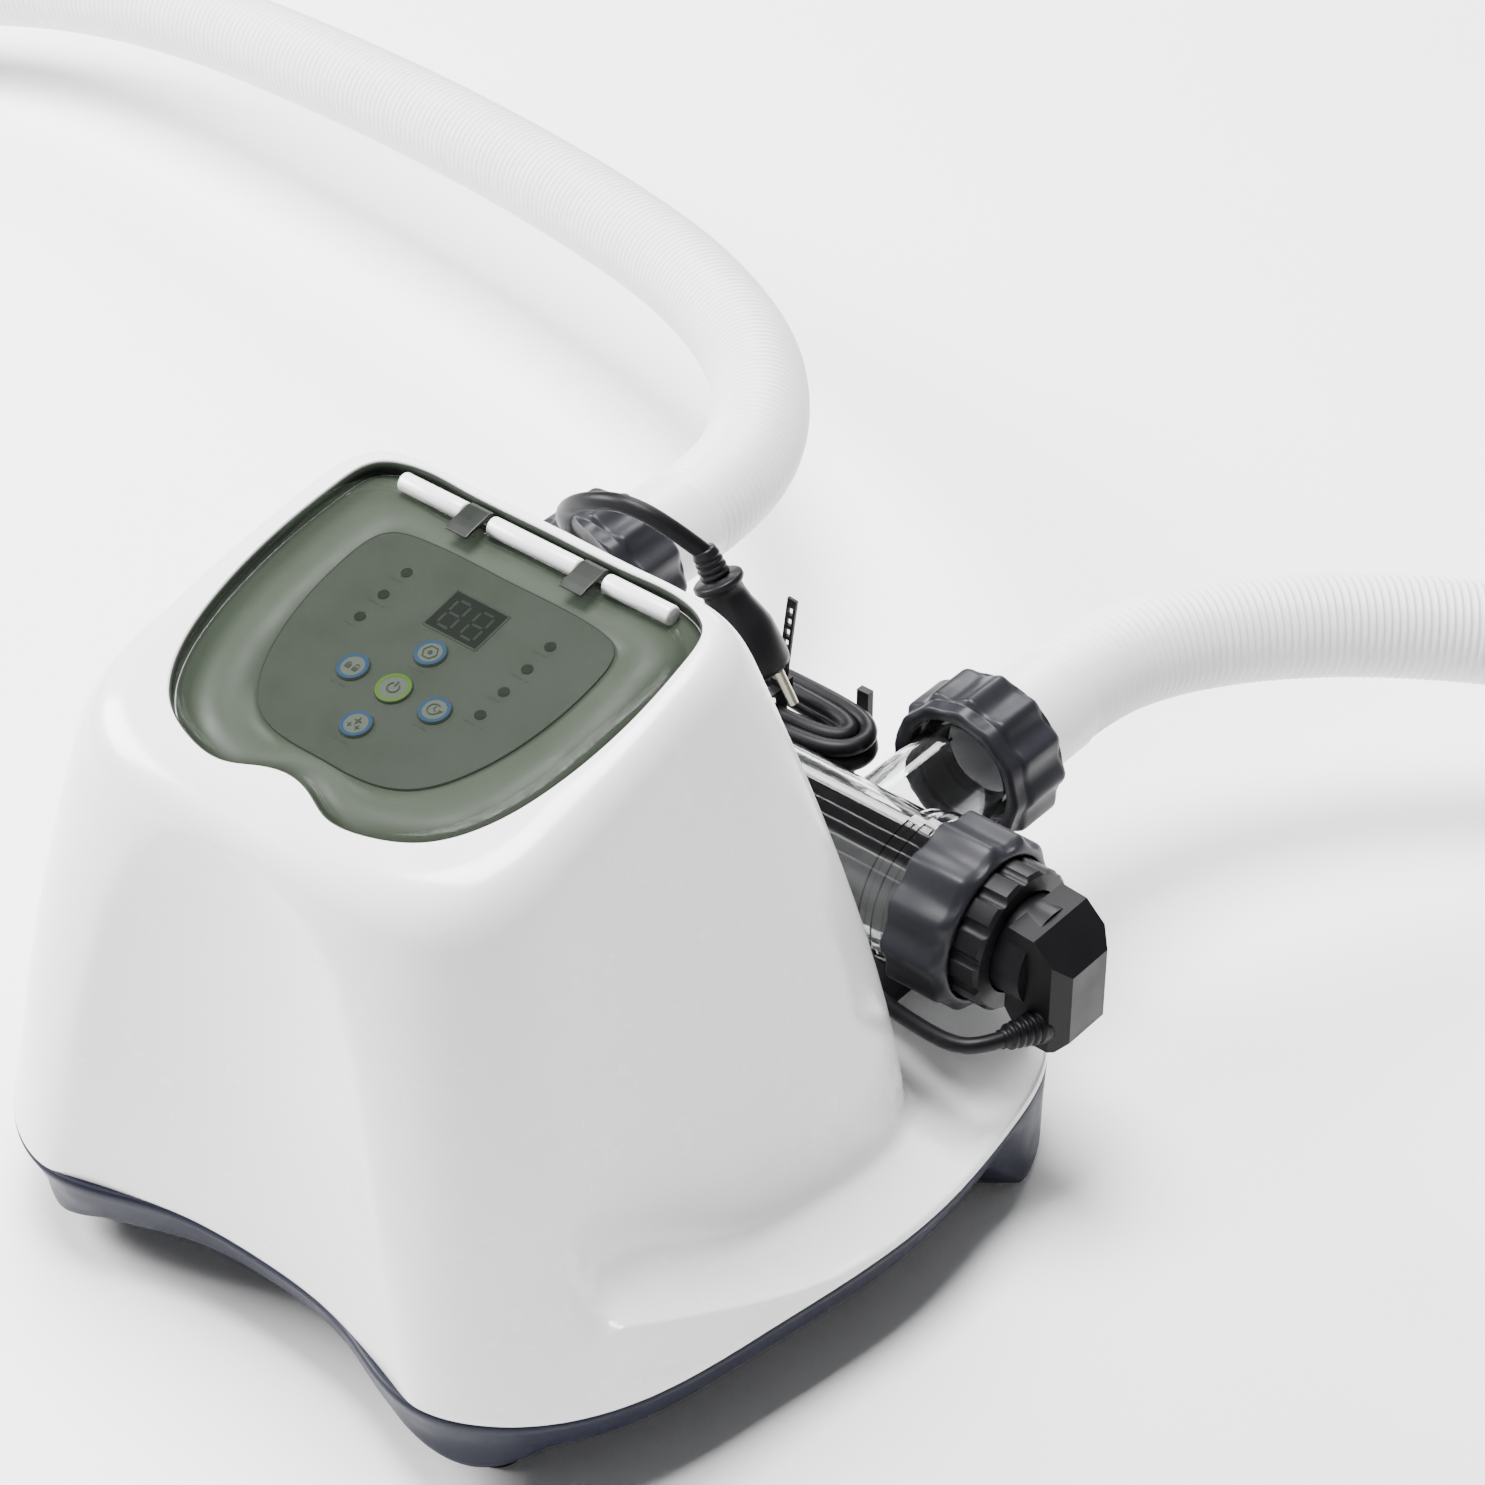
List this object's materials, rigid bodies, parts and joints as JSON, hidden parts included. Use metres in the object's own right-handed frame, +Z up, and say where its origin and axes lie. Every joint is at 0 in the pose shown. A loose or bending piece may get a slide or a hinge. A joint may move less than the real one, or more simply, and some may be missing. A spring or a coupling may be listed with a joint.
{
  "type": "salt chlorine generator",
  "caption": "White pool salt chlorinator on a navy base, with a smoky flip-up lid over its buttons, a clear electrolytic cell behind it, and white hoses with union nuts.",
  "frame": {"origin": "middle of the footprint of the unit with its port nuts, on the floor under the feet, leaving out the free hoses and cords", "axes": "+X to the right seen from the front, +Y to the back where the hoses leave, +Z up"},
  "size_m": [1.7579, 0.7222, 0.286],
  "materials": {
    "shell_white": "smooth gloss white moulded plastic",
    "base_navy": "satin dark navy moulded plastic",
    "pad_rubber": "matte black rubber",
    "screw_steel": "plain stainless steel",
    "panel_film": "dark grey-green printed film",
    "lid_smoke": "translucent smoky grey-green plastic",
    "hinge_clip": "black plastic",
    "button_blue": "printed blue cap",
    "button_green": "printed green cap",
    "lens_clear": "milky clear lens",
    "display_dark": "dark smoked window",
    "led_body": "clear resin",
    "component_black": "black moulded component",
    "board_green": "green circuit board",
    "core_steel": "laminated steel core",
    "copper_winding": "enamelled copper wire",
    "sink_aluminium": "extruded aluminium",
    "cell_clear": "clear moulded pipe",
    "plate_titanium": "dark coated titanium",
    "nut_grey": "satin dark grey plastic",
    "cap_black": "satin black plastic",
    "seal_rubber": "black rubber seal",
    "hose_white": "white corrugated hose",
    "cuff_white": "smooth white cuff",
    "cord_black": "black cord jacket",
    "plug_pin": "nickel-plated brass"
  },
  "bodies": {
    "housing": {"base_tray": "base_navy", "board_posts": "shell_white", "cable_tie": "cap_black", "cell_body": "cell_clear", "cell_cradle_left": "cap_black", "cell_cradle_middle": "cap_black", "cell_cradle_right": "cap_black", "cell_lead": "cord_black", "cell_lead_gland": "cap_black", "cell_plug": "cap_black", "cell_plug_relief": "cord_black", "cell_seal": "seal_rubber", "control_board": "board_green", "display_module": "component_black", "display_window": "display_dark", "electrode_cap": "cap_black", "electrode_plates": "plate_titanium", "flow_sensor": "cap_black", "foot_pads": "pad_rubber", "heat_sink": "sink_aluminium", "hose_cuff_left": "cuff_white", "hose_cuff_right": "cuff_white", "hose_end_cuff_left": "cuff_white", "hose_end_cuff_right": "cuff_white", "hose_left": "hose_white", "hose_right": "hose_white", "housing_screws": "screw_steel", "indicator_leds": "led_body", "indicator_lenses": "lens_clear", "lid_hinge_pin": "screw_steel", "mains_cord_lower": "cord_black", "mains_cord_upper": "cord_black", "mains_gland": "cap_black", "mains_hank": "cord_black", "mains_plug": "cap_black", "mains_plug_pins": "plug_pin", "panel_overlay": "panel_film", "port_seals": "seal_rubber", "sensor_gland": "cap_black", "sensor_lead": "cord_black", "supply_board": "board_green", "tact_switches": "component_black", "terminal_block": "component_black", "transformer_core": "core_steel", "transformer_windings": "copper_winding", "upper_shell": "shell_white"},
    "lid": {"panel_lid": "lid_smoke", "lid_hinge_clips": "hinge_clip"},
    "boost_button": {"boost_button": "button_blue"},
    "lock_button": {"lock_button": "button_blue"},
    "power_button": {"power_button": "button_green"},
    "timer_button": {"timer_button": "button_blue"},
    "clean_button": {"clean_button": "button_blue"},
    "cell_nut": {"cell_nut": "nut_grey"},
    "coupling_ring": {"coupling_ring": "nut_grey"},
    "port_nut_left": {"port_nut_left": "nut_grey"},
    "port_nut_right": {"port_nut_right": "nut_grey"},
    "hose_end_nut_left": {"hose_end_nut_left": "nut_grey"},
    "hose_end_nut_right": {"hose_end_nut_right": "nut_grey"}
  },
  "joints": [
    {"name": "lid_hinge", "type": "hinge", "parent": "housing", "child": "lid", "pos_m": [0, -0.00331, 0.28127], "axis": [-1, 0, 0], "range_deg": [0, 95]},
    {"name": "boost_button_press", "type": "slide", "parent": "housing", "child": "boost_button", "axis": [0, 0.2198, -0.9755], "range_m": [0, 0.0008], "stiffness_N_per_m": 600, "springref_m": -0.0006},
    {"name": "lock_button_press", "type": "slide", "parent": "housing", "child": "lock_button", "axis": [0, 0.2198, -0.9755], "range_m": [0, 0.0008], "stiffness_N_per_m": 600, "springref_m": -0.0006},
    {"name": "power_button_press", "type": "slide", "parent": "housing", "child": "power_button", "axis": [0, 0.2198, -0.9755], "range_m": [0, 0.0008], "stiffness_N_per_m": 600, "springref_m": -0.0006},
    {"name": "timer_button_press", "type": "slide", "parent": "housing", "child": "timer_button", "axis": [0, 0.2198, -0.9755], "range_m": [0, 0.0008], "stiffness_N_per_m": 600, "springref_m": -0.0006},
    {"name": "clean_button_press", "type": "slide", "parent": "housing", "child": "clean_button", "axis": [0, 0.2198, -0.9755], "range_m": [0, 0.0008], "stiffness_N_per_m": 600, "springref_m": -0.0006},
    {"name": "cell_nut_turn", "type": "hinge", "parent": "housing", "child": "cell_nut", "pos_m": [0.13, 0.094, 0.114], "axis": [1, 0, 0], "continuous": true},
    {"name": "coupling_ring_turn", "type": "hinge", "parent": "housing", "child": "coupling_ring", "pos_m": [0.148, 0.094, 0.114], "axis": [1, 0, 0], "continuous": true},
    {"name": "port_nut_left_turn", "type": "hinge", "parent": "housing", "child": "port_nut_left", "pos_m": [-0.125, 0.1735, 0.114], "axis": [0, 1, 0], "continuous": true},
    {"name": "port_nut_right_turn", "type": "hinge", "parent": "housing", "child": "port_nut_right", "pos_m": [0.075, 0.1735, 0.114], "axis": [0, 1, 0], "continuous": true},
    {"name": "hose_end_nut_left_turn", "type": "hinge", "parent": "housing", "child": "hose_end_nut_left", "pos_m": [-0.936, -0.1708, 0.035], "axis": [0, -1, 0], "continuous": true},
    {"name": "hose_end_nut_right_turn", "type": "hinge", "parent": "housing", "child": "hose_end_nut_right", "pos_m": [0.743, -0.1708, 0.035], "axis": [0, -1, 0], "continuous": true}
  ]
}
